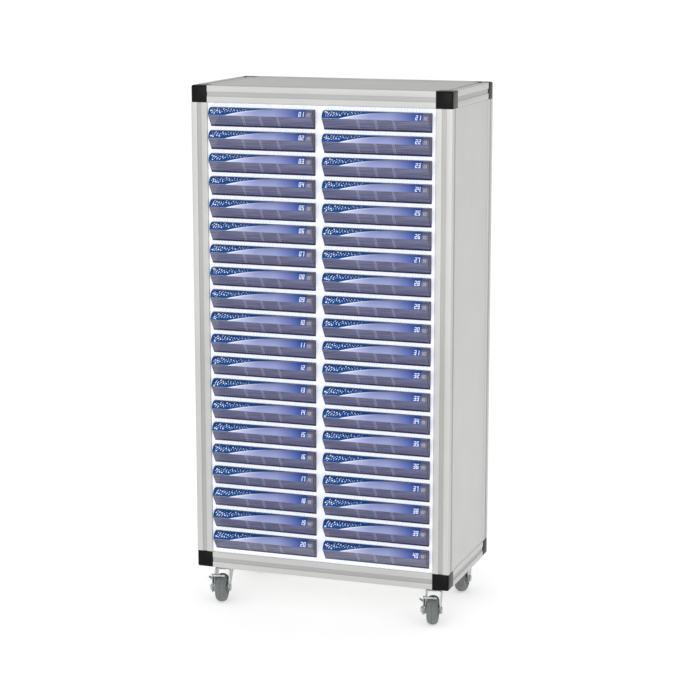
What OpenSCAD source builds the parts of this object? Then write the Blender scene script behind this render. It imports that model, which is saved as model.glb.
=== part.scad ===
// Wheeled parts organizer: an aluminium-profile cabinet on four casters, with
// two columns of shallow clear drawers on white twin-wall shelf boards.
// Origin: on the floor, under the middle of the whole object. +Z is up, the
// drawers open towards -Y, and X runs across the width. Millimetres.

/* [Drawers] */
// Drawer rows in each of the two columns
rows = 20; // [20:1:20]
// Width of one column of drawers, between its side boards
bay_w = 236; // [225:1:250]
// Free height of one drawer opening
opening_h = 41; // [38:0.5:44]
// Length of a drawer behind the front of the shelf boards
drawer_l = 285; // [260:1:290]
// How far the drawer's nose stands in front of the shelf boards
nose_out = 18; // [14:1:22]
// Height of the nose's ridge over the drawer's bottom
nose_ridge_z = 25; // [22:1:28]
// Wall thickness of a drawer
tray_wall = 1.8; // [1.6:0.1:2.2]

/* [Housing] */
// Thickness of a shelf board
board_t = 8.1; // [7:0.1:10]
// Thickness of the top and bottom boards
edge_board_t = 9; // [8:0.5:12]
// Thickness of the outer side boards
side_board_t = 8; // [6:0.5:12]
// Thickness of the partition between the columns
partition_t = 20; // [16:1:24]
// How far the boards' front edges lie behind the frame's front
housing_inset = 2.5; // [2:0.5:5]

/* [Frame] */
// Width of the square frame profile
rail = 36.5; // [34:0.5:40]
// Depth of the frame, front to back
frame_d = 310; // [306:1:330]
// Wall thickness of the profile
profile_wall = 1.7; // [1.5:0.1:2.5]
// Width of the shallow channel along each face of the profile
channel_w = 10; // [8:0.5:12]
// Depth of that channel
channel_depth = 1.2; // [0.8:0.1:1.4]
// Thickness of the side, back and top panels
panel_t = 4; // [3:0.5:4]
// How far the panels lie behind the profile's outer face
panel_inset = 1; // [0.5:0.1:1.5]
// Thickness of the base panel
base_t = 10; // [8:1:12]

/* [Casters] */
// Height of the frame's underside over the floor
caster_h = 82; // [80:1:84]
// Diameter of a wheel
wheel_d = 63; // [60:1:63]
// Width of a wheel's tread
tread_w = 24; // [20:1:24]
// Distance of a caster from the frame's side
caster_inset_x = 45; // [44:1:50]
// Distance of a caster from the frame's front or back
caster_inset_y = 45; // [44:1:50]
// Forward trail of a swivel caster's axle
trail = 26; // [24:1:28]
// Heading of the front casters, from straight ahead towards the right
caster_yaw = 11; // [0:1:20]

/* [Hidden] */
$fn = 48;
free_gap = 0.4;          // between parts that slide past each other
seat_gap = 0.1;          // between parts that sit against each other
run_gap = 0.05;          // radial clearance of a shaft in its bore

fin_t = 2;
row_pitch = opening_h + board_t;
inner_w = 2 * bay_w + partition_t + 2 * side_board_t;
inner_h = rows * opening_h + (rows - 1) * board_t + 2 * edge_board_t;
frame_w = inner_w + 2 * rail;
frame_h = inner_h + 2 * rail;
frame_z0 = caster_h;
frame_z1 = frame_z0 + frame_h;
nose_front = nose_out - housing_inset;
frame_y0 = nose_front - (frame_d + nose_front) / 2;
frame_y1 = frame_y0 + frame_d;
housing_y0 = frame_y0 + housing_inset;
housing_y1 = frame_y1 - panel_inset - panel_t - fin_t - free_gap;
housing_z0 = frame_z0 + rail;
housing_z1 = frame_z1 - rail;
bay_x = (partition_t + bay_w) / 2;

tray_w = bay_w - 2 * free_gap;
tray_h = opening_h - 2 * free_gap;
side_h = tray_h - 3;
nose_top = 3;            // how far the nose's top edge stands out
nose_steps = 6;
rib_t = 1.2;             // guide rib that holds a divider
rib_gap = 2;
rib_reach = 3;
rib_h = 30;
divider_t = 1.6;
lane = tray_w / 3;
label_t = 0.5;
label_margin_l = 1;
label_margin_r = 16;

fin_reach = 2.5;         // fin of the profile that a panel rests on
fin_cut = 3;             // by which a fin stops short of the profile's ends
spigot_l = 18;
spigot_gap = 0.3;
connector_chamfer = 3;
cavity = rail - 2 * (channel_depth + profile_wall);

wheel_r = wheel_d / 2;
stem_r = 4;
stem_len = 26;
stem_head_r = 9;
stem_head_t = 3.4;
race_r = 22;
race_t = 4;
race_skirt_t = 1.5;
race_skirt_h = 3.2;
fork_top_r = 20;
fork_top_t = 3;
fork_top_z = caster_h - 8;
cup_r = 18;
cup_t = 2.4;
leg_t = 2.5;
leg_in_x = 15;           // inner face of a fork leg from the caster's middle
leg_end_r = 9;
axle_r = 4;
axle_head_t = 3;
axle_nut_t = 5;
hub_r = 19;
hub_half = 14.6;
tyre_bead = 0.1;
boss_r = 11;             // eccentric boss that the brake lever turns on
boss_h = 3;
boss_off = 4;            // of its centre from the axle
lever_t = 2;
lever_ring_r = 15;
washer_r = 12;
bar_angle = 62;          // of the brake bar round the wheel, over the front
bar_gap = 2;
bar_t = 5;
plate_w = 60;
plate_t = 3;
plate_edge = rail + 0.7; // outer edge of the plate from the frame's side
plate_z = frame_z0 + base_t + fin_t + 3 * seat_gap;
nut_r = 7.5;
nut_t = 6.5;

SIDES = ["left", "right"];
TURNS = [[0, 0, 0], [0, 90, 0], [0, 90, 90]];   // from +Z to +Z, +X and +Y
function side_sign(side) = side == "left" ? -1 : 1;
function two_digits(n) = n < 10 ? str("0", n) : str(n);
function drawer_name(side, row) = str("drawer_", side, "_", two_digits(row));

// ---- Frame -----------------------------------------------------------------

// Cross-section of the profile, with a channel along each outer face. Its
// outer corner points to -X -Y.
module profile_2d() {
    half = rail / 2;
    difference() {
        square(rail, center = true);
        square(cavity, center = true);
        translate([-half, 0])
            square([2 * channel_depth, channel_w], center = true);
        translate([0, -half])
            square([channel_w, 2 * channel_depth], center = true);
    }
}

// A length of profile. The fins stand on the two inner faces, each behind a
// panel, at these distances from the outer faces; 0 leaves a fin out.
module profile(len, fin_x_at, fin_y_at) {
    half = rail / 2;
    linear_extrude(len) profile_2d();
    translate([0, 0, fin_cut]) linear_extrude(len - 2 * fin_cut) {
        if (fin_x_at > 0)
            translate([half - 0.5, -half + fin_x_at])
                square([fin_reach + 0.5, fin_t]);
        if (fin_y_at > 0)
            translate([-half + fin_y_at, half - 0.5])
                square([fin_t, fin_reach + 0.5]);
    }
}

panel_fin = panel_inset + panel_t + seat_gap;
base_fin = base_t + seat_gap;

module front_post() {
    translate([rail / 2, rail / 2, rail]) profile(frame_h - 2 * rail, 0, panel_fin);
}

module back_post() {
    translate([rail / 2, frame_d - rail / 2, rail]) mirror([0, 1, 0])
        profile(frame_h - 2 * rail, panel_fin, panel_fin);
}

// Places its children, made at the frame's front left corner, on both sides
module on_both_sides() {
    for (m = [0, 1]) mirror([m, 0, 0])
        translate([-frame_w / 2, frame_y0, frame_z0]) children();
}

module frame_posts() {
    color("gainsboro") on_both_sides() {
        front_post();
        back_post();
    }
}

// A rail along X. out_y and out_z point to its outer corner.
module cross_rail(out_y, out_z, fin_y, fin_z) {
    y = out_y < 0 ? frame_y0 + rail / 2 : frame_y1 - rail / 2;
    z = out_z < 0 ? frame_z0 + rail / 2 : frame_z1 - rail / 2;
    translate([-frame_w / 2 + rail, y, z])
        mirror([0, out_y > 0 ? 1 : 0, 0]) mirror([0, 0, out_z > 0 ? 1 : 0])
            rotate([90, 0, 90]) profile(frame_w - 2 * rail, fin_y, fin_z);
}

// A rail along Y, on the left side
module side_rail(out_z, fin_x, fin_z) {
    z = out_z < 0 ? rail / 2 : frame_h - rail / 2;
    translate([rail / 2, frame_d - rail, z])
        mirror([0, 0, out_z > 0 ? 1 : 0])
            rotate([90, 0, 0]) profile(frame_d - 2 * rail, fin_x, fin_z);
}

module frame_rails() {
    color("gainsboro") {
        cross_rail(-1, 1, panel_fin, 0);
        cross_rail(-1, -1, base_fin, 0);
        cross_rail(1, 1, panel_fin, panel_fin);
        cross_rail(1, -1, base_fin, panel_fin);
        on_both_sides() {
            side_rail(1, panel_fin, panel_fin);
            side_rail(-1, base_fin, panel_fin);
        }
    }
}

// A corner block with its outer corner at the origin and its body and
// spigots towards +X +Y +Z
module corner_connector() {
    c = connector_chamfer * sqrt(2);
    peg = cavity - 2 * spigot_gap;
    difference() {
        union() {
            cube(rail);
            for (turn = TURNS)
                translate([rail, rail, rail] / 2) rotate(turn)
                    translate([-peg / 2, -peg / 2, 0])
                        cube([peg, peg, rail / 2 + spigot_l]);
        }
        for (turn = TURNS)
            rotate(turn) rotate([0, 0, 45]) cube([c, c, 3 * rail], center = true);
    }
}

module corner_connectors() {
    color("black")
        for (mx = [0, 1], my = [0, 1], mz = [0, 1])
            translate([0, (frame_y0 + frame_y1) / 2, (frame_z0 + frame_z1) / 2])
                mirror([mx, 0, 0]) mirror([0, my, 0]) mirror([0, 0, mz])
                    translate([-frame_w, -frame_d, -frame_h] / 2)
                        corner_connector();
}

module top_panel() {
    x = frame_w - 2 * (rail + seat_gap);
    y = frame_d - 2 * (rail + seat_gap);
    color("lightgray")
        translate([-x / 2, frame_y0 + rail + seat_gap, frame_z1 - panel_inset - panel_t])
            cube([x, y, panel_t]);
}

// Runs its children at the place of each caster. Front ones come first.
module at_casters(front = true, back = true) {
    for (m = [0, 1]) mirror([m, 0, 0]) {
        x = -frame_w / 2 + caster_inset_x;
        if (front) translate([x, frame_y0 + caster_inset_y, 0]) children();
        if (back) translate([x, frame_y1 - caster_inset_y, 0]) children();
    }
}

// Its edge is rebated under the rails' fins, and its middle comes up level
// with them
module base_panel() {
    x = frame_w - 2 * (rail + seat_gap);
    y = frame_d - 2 * (rail + seat_gap);
    step = fin_reach + free_gap;
    color("lightgray") difference() {
        translate([-x / 2, frame_y0 + rail + seat_gap, frame_z0]) {
            cube([x, y, base_t]);
            translate([step, step, 0])
                cube([x - 2 * step, y - 2 * step, base_t + fin_t + seat_gap]);
        }
        at_casters() translate([0, 0, frame_z0 - 1])
            cylinder(r = stem_r + 0.3, h = base_t + 10);
    }
}

module side_panels() {
    color("lightgray") on_both_sides()
        translate([panel_inset, rail + seat_gap, rail + seat_gap])
            cube([panel_t, frame_d - 2 * (rail + seat_gap),
                  frame_h - 2 * (rail + seat_gap)]);
}

module back_panel() {
    x = frame_w - 2 * (rail + seat_gap);
    color("lightgray")
        translate([-x / 2, frame_y1 - panel_inset - panel_t,
                   frame_z0 + rail + seat_gap])
            cube([x, panel_t, frame_h - 2 * (rail + seat_gap)]);
}

// ---- Drawer housing --------------------------------------------------------

// Top of the opening of a row; row 1 is the highest
function opening_z(row) = housing_z1 - edge_board_t - opening_h - (row - 1) * row_pitch;

module housing_board(x, w, z, t) {
    translate([x + seat_gap / 2, housing_y0, z])
        cube([w - seat_gap, housing_y1 - housing_y0, t]);
}

module drawer_housing() {
    h = housing_z1 - housing_z0 - 2 * seat_gap;
    color("white") {
        for (x = [-inner_w / 2, -partition_t / 2, inner_w / 2 - side_board_t])
            housing_board(x, x == -partition_t / 2 ? partition_t : side_board_t,
                          housing_z0 + seat_gap, h);
        for (x = [-bay_x - bay_w / 2, bay_x - bay_w / 2]) {
            housing_board(x, bay_w, housing_z0 + seat_gap, edge_board_t - seat_gap);
            housing_board(x, bay_w, housing_z1 - edge_board_t, edge_board_t - seat_gap);
            for (row = [1 : rows - 1])
                housing_board(x, bay_w, opening_z(row) - board_t, board_t);
        }
    }
}

// ---- Drawers ---------------------------------------------------------------

// Side view of the drawer as [y, z] points, y = 0 at the shelf boards' front.
// inset draws the inner wall; open_top runs it up through the open top.
function nose_arc(inset) = [
    for (i = [0 : nose_steps])
        let (a = 90 * i / nose_steps,
             ry = nose_out - nose_top - inset,
             rz = tray_h - nose_ridge_z - inset)
        [-nose_top - ry * cos(a), nose_ridge_z + rz * sin(a)]
];

function tray_outline() = concat(
    [[0, 0]], nose_arc(0),
    [[-nose_top + tray_wall, tray_h], [-nose_top + tray_wall, side_h],
     [drawer_l, side_h], [drawer_l, 0]]
);

// Slant of the window, used to keep its wall at an even thickness
window_slant = sqrt(nose_out * nose_out + nose_ridge_z * nose_ridge_z) / nose_ridge_z;

function tray_hollow() = concat(
    [[tray_wall * window_slant - nose_out / nose_ridge_z * tray_wall, tray_wall]],
    [[-nose_out + tray_wall * window_slant, nose_ridge_z]],
    [for (p = nose_arc(tray_wall)) if (p[0] > -nose_out + tray_wall * window_slant) p],
    [[-nose_top, tray_h + 1], [drawer_l - tray_wall, tray_h + 1],
     [drawer_l - tray_wall, tray_wall]]
);

module along_x(x0, w) {
    translate([x0, 0, 0]) rotate([90, 0, 90]) linear_extrude(w) children();
}

// The webs across the nose and the ribs on the rear wall that hold dividers
module divider_guides() {
    for (x = [-lane / 2, 0, lane / 2], s = [-1, 1]) {
        rib_x = x + s * (rib_gap + rib_t) / 2 - rib_t / 2;
        along_x(rib_x, rib_t)
            polygon([[-0.3, 0.5], [-nose_out + 1, nose_ridge_z],
                     [-nose_out + 6, rib_h + 3], [-0.3, rib_h + 3]]);
        translate([rib_x, drawer_l - tray_wall - rib_reach, 0.5])
            cube([rib_t, rib_reach + 0.5, rib_h]);
    }
}

module tray() {
    difference() {
        along_x(-tray_w / 2, tray_w) polygon(tray_outline());
        along_x(-tray_w / 2 + tray_wall, tray_w - 2 * tray_wall) polygon(tray_hollow());
    }
    divider_guides();
}

module divider() {
    z0 = tray_wall + seat_gap;
    along_x(-divider_t / 2, divider_t)
        polygon([[2, z0], [-nose_out + 7.5, nose_ridge_z - 4],
                 [-nose_out + 7.5, nose_ridge_z + 3], [0, side_h - 2],
                 [drawer_l - tray_wall - seat_gap, side_h - 2],
                 [drawer_l - tray_wall - seat_gap, z0]]);
}

// A card strip round the nose's upper face, from the ridge to the top edge
module label_card() {
    steps = nose_steps;
    ry = nose_out - nose_top + seat_gap;
    rz = tray_h - nose_ridge_z + seat_gap;
    angles = [for (i = [0 : steps]) 90 * i / steps];
    inner = [for (a = angles) [-nose_top - ry * cos(a), nose_ridge_z + rz * sin(a)]];
    outer = [for (a = angles)
        [-nose_top - (ry + label_t) * cos(a),
         nose_ridge_z + min(rz + label_t, rz + free_gap / 2) * sin(a)]];
    along_x(-tray_w / 2 + label_margin_l, tray_w - label_margin_l - label_margin_r)
        polygon(concat(inner, [for (i = [steps : -1 : 0]) outer[i]]));
}

module drawer(side, row) {
    translate([side_sign(side) * bay_x, housing_y0, opening_z(row) + free_gap]) {
        color("slategray") tray();
        color("royalblue") label_card();
        for (x = [-lane / 2, lane / 2])
            color("lightsteelblue") translate([x, 0, 0]) divider();
    }
}

// ---- Casters ---------------------------------------------------------------
// Every caster piece is modelled with the stem's axis on the Z axis.

// The threaded stem with the upper ball race round it
module caster_stem_front() {
    head_top = fork_top_z - fork_top_t - free_gap;
    translate([0, 0, head_top - stem_head_t]) cylinder(r = stem_head_r, h = stem_head_t);
    translate([0, 0, head_top - 1])
        cylinder(r = stem_r, h = caster_h + stem_len - head_top + 1);
    translate([0, 0, caster_h - race_t]) cylinder(r = race_r, h = race_t - seat_gap);
    translate([0, 0, caster_h - race_t - race_skirt_h]) difference() {
        cylinder(r = race_r, h = race_skirt_h + 1);
        translate([0, 0, -1])
            cylinder(r = race_r - race_skirt_t, h = race_skirt_h + 3);
    }
}

// The plain stem of a fixed caster
module caster_stem_rear() {
    head_top = fork_top_z - fork_top_t - seat_gap;
    translate([0, 0, head_top - stem_head_t]) cylinder(r = stem_head_r, h = stem_head_t);
    translate([0, 0, head_top - 1])
        cylinder(r = stem_r, h = caster_h + stem_len - head_top + 1);
}

module caster_stems() {
    color("silver") {
        at_casters(back = false) caster_stem_front();
        at_casters(front = false) caster_stem_rear();
    }
}

// Inner corner plates that spread the casters' load over the base panel
module caster_plates() {
    for (m = [0, 1]) mirror([m, 0, 0])
        for (y = [frame_y0 + plate_edge, frame_y1 - plate_edge - plate_w])
            color("silver") difference() {
                translate([-frame_w / 2 + plate_edge, y, plate_z])
                    cube([plate_w, plate_w, plate_t]);
                at_casters() translate([0, 0, frame_z0])
                    cylinder(r = stem_r + 0.3, h = 40);
            }
}

module caster_nuts() {
    color("silver") at_casters()
        translate([0, 0, plate_z + plate_t + seat_gap]) difference() {
            cylinder(r = nut_r, h = nut_t, $fn = 6);
            translate([0, 0, -1]) cylinder(r = stem_r + seat_gap, h = nut_t + 2);
        }
}

// Side view of a fork leg as a flat shape, y towards the axle
module leg_2d(axle_y) {
    front = fork_top_r - 1;
    back = -front;
    top = fork_top_z;
    union() {
        translate([axle_y, wheel_r]) circle(leg_end_r);
        polygon([[back, top], [back, top - 17],
                 [axle_y - leg_end_r * 0.9, wheel_r - leg_end_r * 0.43],
                 [axle_y, wheel_r],
                 [axle_y + leg_end_r * 0.99, wheel_r + leg_end_r * 0.1],
                 [front + (axle_y > 0 ? 4 : 0), top - 8], [front, top]]);
    }
}

// A pressed-steel fork: a round top with two legs, bored for stem and axle
module fork(axle_y, swivel) {
    difference() {
        union() {
            translate([0, 0, fork_top_z - fork_top_t])
                cylinder(r = fork_top_r, h = fork_top_t);
            if (swivel)
                translate([0, 0, fork_top_z - 1]) cylinder(r = cup_r, h = cup_t + 1);
            else
                translate([0, 0, fork_top_z - 1])
                    cylinder(r = race_r, h = caster_h - fork_top_z + 1 - seat_gap);
            for (x = [-leg_in_x - leg_t, leg_in_x])
                along_x(x, leg_t) leg_2d(axle_y);
            translate([-leg_in_x - leg_t, -fork_top_r + 1, fork_top_z - fork_top_t])
                cube([2 * (leg_in_x + leg_t), 2 * (fork_top_r - 1), fork_top_t]);
            if (swivel) brake_boss();
        }
        translate([0, 0, fork_top_z - fork_top_t - 1])
            cylinder(r = stem_r + (swivel ? run_gap : seat_gap), h = 40);
        translate([-50, axle_y, wheel_r]) rotate([0, 90, 0])
            cylinder(r = axle_r + seat_gap, h = 100);
    }
}

// The axle bolt with its head on the right and its nut on the left
module axle(axle_y, left_stack) {
    left = -leg_in_x - leg_t - left_stack;
    translate([0, axle_y, wheel_r]) rotate([0, 90, 0]) {
        translate([0, 0, left - seat_gap - axle_nut_t - 1])
            cylinder(r = axle_r, h = leg_in_x + leg_t - left + axle_nut_t + 2);
        translate([0, 0, leg_in_x + leg_t + seat_gap])
            cylinder(r = 7.5, h = axle_head_t, $fn = 6);
    }
}

module axle_nut(axle_y, left_stack) {
    left = -leg_in_x - leg_t - left_stack - seat_gap;
    translate([left, axle_y, wheel_r]) rotate([0, -90, 0]) difference() {
        union() {
            cylinder(r = washer_r, h = 1.2);
            cylinder(r = 7.5, h = axle_nut_t, $fn = 6);
        }
        translate([0, 0, -1]) cylinder(r = axle_r + seat_gap, h = axle_nut_t + 2);
    }
}

// Centre of the eccentric boss, as [y, z]
boss_at = [trail - boss_off * cos(60), wheel_r + boss_off * sin(60)];

module brake_boss() {
    translate([-leg_in_x - leg_t - boss_h, boss_at[0], boss_at[1]])
        rotate([0, 90, 0]) cylinder(r = boss_r, h = boss_h + 1);
}

// Places its children, whose forward side is +Y, under one of the front stems
module at_front_caster(side) {
    translate([side_sign(side) * (frame_w / 2 - caster_inset_x),
               frame_y0 + caster_inset_y, 0])
        rotate([0, 0, caster_yaw]) mirror([0, 1, 0]) children();
}

module front_fork(side) {
    at_front_caster(side) color("silver") {
        fork(trail, true);
        axle(trail, boss_h);
        axle_nut(trail, boss_h);
    }
}

module rear_forks() {
    color("silver") at_casters(front = false) {
        fork(0, false);
        axle(0, 0);
        axle_nut(0, 0);
    }
}

// The brake: a ring on the boss, an arm to a bar over the tread, and a tab
module brake_lever(side) {
    bar_r = wheel_r + bar_gap + bar_t / 2;
    bar = [trail + bar_r * cos(bar_angle), wheel_r + bar_r * sin(bar_angle)];
    ring_x = -leg_in_x - leg_t - 0.4 - lever_t;
    at_front_caster(side) color("silver") {
        difference() {
            along_x(ring_x, lever_t) union() {
                translate(boss_at) circle(lever_ring_r);
                polygon([boss_at + [-6, 12], bar + [-4, 2.5], bar + [2.5, 2.5],
                         bar + [2.5, -3], boss_at + [14, 4]]);
            }
            translate([ring_x - 1, boss_at[0], boss_at[1]]) rotate([0, 90, 0])
                cylinder(r = boss_r + run_gap, h = lever_t + 2);
        }
        translate([ring_x, bar[0] - bar_t / 2, bar[1] - bar_t / 2])
            cube([-ring_x + 10, bar_t, bar_t]);
        translate([ring_x + 0.5, bar[0] - 18, bar[1] - 16]) rotate([0, -55, 0])
            cube([lever_t, 11, 11]);
    }
}

// A wheel centred on the origin, its axle along X
module wheel_hub() {
    rotate([0, 90, 0]) rotate_extrude($fn = 96)
        polygon([[axle_r + run_gap, -hub_half], [9, -hub_half], [9, -tread_w / 2 + 3],
                 [hub_r - 4, -tread_w / 2 + 3], [hub_r - 3, -tread_w / 2 + 1],
                 [hub_r, -tread_w / 2 + 1], [hub_r, tread_w / 2 - 1],
                 [hub_r - 3, tread_w / 2 - 1], [hub_r - 4, tread_w / 2 - 3],
                 [9, tread_w / 2 - 3], [9, hub_half], [axle_r + run_gap, hub_half]]);
}

module wheel_tyre() {
    half = tread_w / 2;
    rotate([0, 90, 0]) rotate_extrude($fn = 96)
        polygon([[hub_r + tyre_bead, -half + 0.5], [wheel_r - 7, -half],
                 [wheel_r - 3, -half + 1.5], [wheel_r - 0.8, -half + 5],
                 [wheel_r, -half + 9], [wheel_r, half - 9],
                 [wheel_r - 0.8, half - 5], [wheel_r - 3, half - 1.5],
                 [wheel_r - 7, half], [hub_r + tyre_bead, half - 0.5]]);
}

module wheel() {
    color("dimgray") wheel_hub();
    color("gray") wheel_tyre();
}

module front_wheel(side) {
    at_front_caster(side) translate([0, trail, wheel_r]) wheel();
}

module rear_wheel(side) {
    translate([side_sign(side) * (frame_w / 2 - caster_inset_x),
               frame_y1 - caster_inset_y, wheel_r]) wheel();
}

// ---- The object ------------------------------------------------------------

frame_posts();
frame_rails();
corner_connectors();
top_panel();
base_panel();
side_panels();
back_panel();
drawer_housing();
caster_stems();
caster_plates();
caster_nuts();
rear_forks();
for (side = SIDES) {
    front_fork(side);
    brake_lever(side);
    front_wheel(side);
    rear_wheel(side);
    for (row = [1 : rows])
        drawer(side, row);
}
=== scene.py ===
"""Looks of a wheeled parts organizer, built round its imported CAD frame.

Meshes are written in millimetres and scaled to metres as they are made. +Z is up, the drawers open
towards -Y, and X runs across the width.
"""

import math

import bmesh
import bpy
from mathutils import Matrix, Vector


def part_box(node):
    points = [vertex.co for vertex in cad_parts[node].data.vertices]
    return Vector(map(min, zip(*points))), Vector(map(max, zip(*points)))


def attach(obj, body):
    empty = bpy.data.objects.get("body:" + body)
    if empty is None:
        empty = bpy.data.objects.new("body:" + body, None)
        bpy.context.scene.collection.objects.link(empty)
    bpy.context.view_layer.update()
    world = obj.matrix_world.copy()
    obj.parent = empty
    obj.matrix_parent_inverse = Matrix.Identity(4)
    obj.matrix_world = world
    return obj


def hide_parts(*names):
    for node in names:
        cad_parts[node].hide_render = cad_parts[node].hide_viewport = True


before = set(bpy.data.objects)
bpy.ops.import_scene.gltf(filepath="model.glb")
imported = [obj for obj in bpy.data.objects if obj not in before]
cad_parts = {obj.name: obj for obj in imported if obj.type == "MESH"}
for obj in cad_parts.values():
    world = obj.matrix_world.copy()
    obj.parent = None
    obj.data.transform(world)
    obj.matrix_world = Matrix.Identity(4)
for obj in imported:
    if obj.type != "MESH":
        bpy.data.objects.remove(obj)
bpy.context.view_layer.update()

MM = 0.001
SIDES = {"left": -1, "right": 1}


def box_mm(node):
    low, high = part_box(node)
    return low / MM, high / MM


# ---- Sizes in millimetres ------------------------------------------------------------------------
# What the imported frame's boxes give is read from them. The other sizes are set here.

frame_low, frame_high = box_mm("corner_connectors")
post_low = box_mm("frame_posts")[0]
housing_low, housing_high = box_mm("drawer_housing")
first_low, first_high = box_mm("drawer_left_01")
second_low = box_mm("drawer_left_02")[0]

RAIL = post_low.z - frame_low.z
ROWS = 20
ROW_PITCH = first_low.z - second_low.z
OPENING_H = 41.0
BOARD_T = ROW_PITCH - OPENING_H
FREE_GAP = 0.4     # under a drawer in its opening
SEAT_GAP = 0.1     # between pieces that rest against each other
BAY_W = 236.0
BAY_X = -(first_low.x + first_high.x) / 2
PARTITION_T = 2 * BAY_X - BAY_W
HOUSING_FRONT = housing_low.y

TRAY_W = first_high.x - first_low.x
TRAY_H = 40.2
TRAY_SIDE_H = 37.2
TRAY_L = first_high.y - HOUSING_FRONT
TRAY_WALL = 1.8
NOSE_OUT = 18.0
NOSE_RIDGE_Z = 25.0
NOSE_TOP = 3.0
NOSE_STEPS = 14
LANE = TRAY_W / 3
GUIDE_XS = (-LANE / 2, 0, LANE / 2)
WEB_T = 1.2
WEB_GAP = 2.0      # between the two webs of a guide
WEB_REACH = (WEB_GAP + WEB_T) / 2
LABEL_LEFT = -TRAY_W / 2 + 1
LABEL_RIGHT = TRAY_W / 2 - 16
LABEL_T = 0.5

WHEEL_R = 31.5
TREAD_HALF = 12.0
CASTER_H = frame_low.z
CASTER_INSET = 45.0
CASTER_YAW = math.radians(11)
TRAIL = 26.0
STEM_R = 4.0
AXLE_R = 4.0


# ---- Mesh helpers --------------------------------------------------------------------------------

def prism(bm, outline, low, high, axis):
    """Adds a prism along axis. The outline's points hold the other two axes, in the order x, y, z."""
    def point(a, b, along):
        if axis == "x":
            return (along, a, b)
        if axis == "y":
            return (a, along, b)
        return (a, b, along)
    start = [bm.verts.new(point(a, b, low)) for a, b in outline]
    end = [bm.verts.new(point(a, b, high)) for a, b in outline]
    count = len(outline)
    faces = [bm.faces.new(start), bm.faces.new(end)]
    for i in range(count):
        j = (i + 1) % count
        faces.append(bm.faces.new((start[i], start[j], end[j], end[i])))
    bmesh.ops.recalc_face_normals(bm, faces=faces)


def box(bm, low, high):
    outline = [(low[0], low[1]), (high[0], low[1]), (high[0], high[1]), (low[0], high[1])]
    prism(bm, outline, low[2], high[2], "z")


def lathe(bm, profile, steps=72):
    """Turns a closed profile of (radius, x) points round the X axis."""
    rings = []
    for k in range(steps):
        a = 2 * math.pi * k / steps
        rings.append([bm.verts.new((x, r * math.cos(a), r * math.sin(a))) for r, x in profile])
    count = len(profile)
    faces = []
    for k in range(steps):
        here, there = rings[k], rings[(k + 1) % steps]
        for i in range(count):
            j = (i + 1) % count
            faces.append(bm.faces.new((here[i], here[j], there[j], there[i])))
    bmesh.ops.recalc_face_normals(bm, faces=faces)


def arc(cx, cy, r, start, end, steps):
    """Points on a circle from start to end, in degrees."""
    angles = [math.radians(start + (end - start) * i / steps) for i in range(steps + 1)]
    return [(cx + r * math.cos(a), cy + r * math.sin(a)) for a in angles]


def circle(cx, cy, r, steps=48):
    return arc(cx, cy, r, 0, 360 * (steps - 1) / steps, steps - 1)


def hexagon(cx, cy, r):
    return circle(cx, cy, r, 6)


def hull(circles, steps=48):
    """Outline of the convex hull of (x, y, radius) circles."""
    points = sorted({p for c in circles for p in circle(*c, steps)})
    chains = []
    for run in (points, points[::-1]):
        chain = []
        for p in run:
            while len(chain) > 1:
                (ax, ay), (bx, by) = chain[-2:]
                if (bx - ax) * (p[1] - ay) - (by - ay) * (p[0] - ax) > 1e-6:
                    break
                chain.pop()
            chain.append(p)
        chains += chain[:-1]
    return chains


def round_edges(bm, width, segments=2, angle=30, keep=None):
    """Bevels the edges sharper than angle, or those of them that keep() picks."""
    sharp = [e for e in bm.edges if e.is_manifold and e.calc_face_angle(0) > math.radians(angle)]
    picked = [e for e in sharp if keep is None or keep(e)]
    bmesh.ops.bevel(bm, geom=picked, offset=width, offset_type="OFFSET", segments=segments,
                    profile=0.5, affect="EDGES", clamp_overlap=True)


def finish_mesh(name, bm, *materials, sharp=32):
    bmesh.ops.scale(bm, vec=(MM, MM, MM), verts=bm.verts)
    mesh = bpy.data.meshes.new(name)
    bm.to_mesh(mesh)
    bm.free()
    for material in materials:
        mesh.materials.append(material)
    mesh.shade_smooth()
    mesh.set_sharp_from_angle(angle=math.radians(sharp))
    return mesh


def combine(base, *steps):
    """Applies (operation, bmesh) boolean steps to base and returns the result as a bmesh."""
    def scratch(bm):
        mesh = bpy.data.meshes.new("scratch")
        bm.to_mesh(mesh)
        bm.free()
        made = bpy.data.objects.new("scratch", mesh)
        bpy.context.collection.objects.link(made)
        return made
    target = scratch(base)
    others = []
    for operation, bm in steps:
        other = scratch(bm)
        others.append(other)
        change = target.modifiers.new("cut", "BOOLEAN")
        change.operation = operation
        change.solver = "EXACT"
        change.object = other
    bpy.context.view_layer.update()
    shaped = target.evaluated_get(bpy.context.evaluated_depsgraph_get())
    result = bmesh.new()
    result.from_mesh(shaped.to_mesh())
    shaped.to_mesh_clear()
    for made in [target, *others]:
        mesh = made.data
        bpy.data.objects.remove(made)
        bpy.data.meshes.remove(mesh)
    return result


def solid(outline, low, high, axis):
    bm = bmesh.new()
    prism(bm, outline, low, high, axis)
    return bm


def add_piece(name, mesh, body, at=(0, 0, 0), turn=None, replaces=()):
    piece = bpy.data.objects.new(name, mesh)
    bpy.context.collection.objects.link(piece)
    piece.matrix_world = Matrix.Translation(Vector(at) * MM) @ (turn or Matrix.Identity(4))
    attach(piece, body)
    if replaces:
        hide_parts(*replaces)
    return piece


# ---- Materials -----------------------------------------------------------------------------------

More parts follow.
